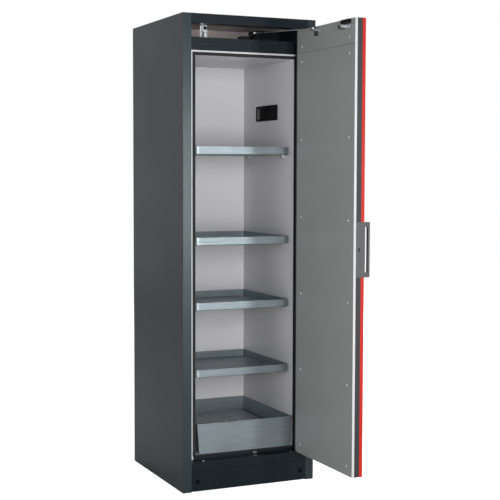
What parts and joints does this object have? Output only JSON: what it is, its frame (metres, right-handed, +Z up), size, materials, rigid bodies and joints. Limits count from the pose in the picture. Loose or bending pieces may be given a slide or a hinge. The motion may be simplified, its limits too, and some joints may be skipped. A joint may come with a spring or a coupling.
{
  "type": "flammable storage cabinet",
  "caption": "Tall fire-rated safety cabinet with one self-closing wing door, adjustable tray shelves, a collecting sump and air connections on the roof.",
  "frame": {"origin": "centre of the carcass footprint on the floor", "axes": "+Z up, -Y out of the front opening, +X towards the hinge side"},
  "size_m": [0.599, 1.1112, 1.988],
  "materials": {
    "anthracite_paint": "satin",
    "red_paint": "satin",
    "edge_profile": "matte",
    "fire_board": "matte",
    "grey_laminate": "matte",
    "door_laminate": "matte",
    "pale_strip": "satin",
    "black_seal": "matte",
    "galvanised_steel": "satin",
    "recess_paint": "satin",
    "brushed_tray": "satin",
    "bright_steel": "gloss",
    "black_plastic": "matte",
    "handle_plastic": "satin",
    "bush_plastic": "satin"
  },
  "bodies": {
    "carcass": {"air_ducts": "galvanised_steel", "air_grilles": "black_plastic", "base_frame": "galvanised_steel", "bottom_fire_board": "fire_board", "bottom_rail": "anthracite_paint", "ceiling_liner": "grey_laminate", "closer_body": "anthracite_paint", "fascia": "anthracite_paint", "floor_liner": "grey_laminate", "frame_edge_strips": "pale_strip", "header_panel": "anthracite_paint", "hinge_brackets": "anthracite_paint", "hinge_pins": "bright_steel", "hold_open_catch": "black_plastic", "intumescent_strips": "black_seal", "left_side_panel": "anthracite_paint", "levelling_feet": "galvanised_steel", "plinth_cover": "anthracite_paint", "plinth_plugs": "black_plastic", "rail_screws": "bright_steel", "rear_fire_board": "fire_board", "rear_liner": "grey_laminate", "rear_panel": "anthracite_paint", "recess_lining": "recess_paint", "right_side_panel": "anthracite_paint", "roof_spigots": "galvanised_steel", "shelf_pegs": "galvanised_steel", "side_fire_boards": "fire_board", "side_liners": "grey_laminate", "sill_catch_plate": "bright_steel", "spigot_fire_collars": "black_seal", "strike_bracket": "bright_steel", "top_fire_boards": "fire_board", "top_panel": "anthracite_paint"},
    "door": {"door_outer_panel": "red_paint", "door_edge_frame": "edge_profile", "door_fire_core": "fire_board", "door_inner_panel": "door_laminate", "door_upper_panel": "door_laminate", "door_edge_bands": "pale_strip", "door_hinge_seal": "black_seal", "door_panel_screws": "bright_steel", "closer_bracket": "bright_steel", "catch_plate": "bright_steel", "catch_housing": "black_plastic", "door_handle": "handle_plastic", "lock_cylinder": "bright_steel", "pivot_bushes": "bush_plastic"},
    "closer_arm": {"closer_arm": "black_plastic"},
    "closer_link": {"closer_link": "bright_steel"},
    "lock_plug": {"lock_plug": "bright_steel"},
    "lock_bolt": {"lock_bolt": "bright_steel"},
    "strike_roller": {"strike_roller": "bright_steel"},
    "sump": {"sump_tray": "brushed_tray", "sump_insert": "galvanised_steel"},
    "shelf_1": {"shelf_tray_1": "brushed_tray"},
    "shelf_2": {"shelf_tray_2": "brushed_tray"},
    "shelf_3": {"shelf_tray_3": "brushed_tray"},
    "shelf_4": {"shelf_tray_4": "brushed_tray"}
  },
  "joints": [
    {"name": "door_hinge", "type": "hinge", "parent": "carcass", "child": "door", "pos_m": [0.2475, -0.2955, 0.127], "axis": [0, 0, 1], "range_deg": [-90, 5]},
    {"name": "closer_pivot", "type": "hinge", "parent": "carcass", "child": "closer_arm", "pos_m": [0.098, -0.0555, 1.884], "axis": [0, 0, 1], "range_deg": [-90, 5]},
    {"name": "closer_elbow", "type": "hinge", "parent": "closer_arm", "child": "closer_link", "pos_m": [0.052, -0.2315, 1.895], "axis": [0, 0, 1], "range_deg": [-5, 90]},
    {"name": "bolt_slide", "type": "slide", "parent": "door", "child": "lock_bolt", "axis": [0, -1, 0], "range_m": [0, 0.012]},
    {"name": "lock_turn", "type": "hinge", "parent": "door", "child": "lock_plug", "pos_m": [0.2475, -0.7355, 1.018], "axis": [1, 0, 0], "range_deg": [0, 90]},
    {"name": "roller_spin", "type": "hinge", "parent": "carcass", "child": "strike_roller", "pos_m": [-0.176, -0.2385, 1.877], "axis": [0, 0, 1], "continuous": true},
    {"name": "sump_lift", "type": "slide", "parent": "carcass", "child": "sump", "axis": [0, 0, 1], "range_m": [0, 0.02]},
    {"name": "shelf_1_lift", "type": "slide", "parent": "carcass", "child": "shelf_1", "axis": [0, 0, 1], "range_m": [0, 0.012]},
    {"name": "shelf_2_lift", "type": "slide", "parent": "carcass", "child": "shelf_2", "axis": [0, 0, 1], "range_m": [0, 0.012]},
    {"name": "shelf_3_lift", "type": "slide", "parent": "carcass", "child": "shelf_3", "axis": [0, 0, 1], "range_m": [0, 0.012]},
    {"name": "shelf_4_lift", "type": "slide", "parent": "carcass", "child": "shelf_4", "axis": [0, 0, 1], "range_m": [0, 0.012]}
  ],
  "couplings": [
    {"joint": "closer_pivot", "follows": "door_hinge", "ratio": 1},
    {"joint": "closer_elbow", "follows": "door_hinge", "ratio": -1},
    {"joint": "lock_turn", "follows": "bolt_slide", "rad_per_m": 130.9}
  ]
}
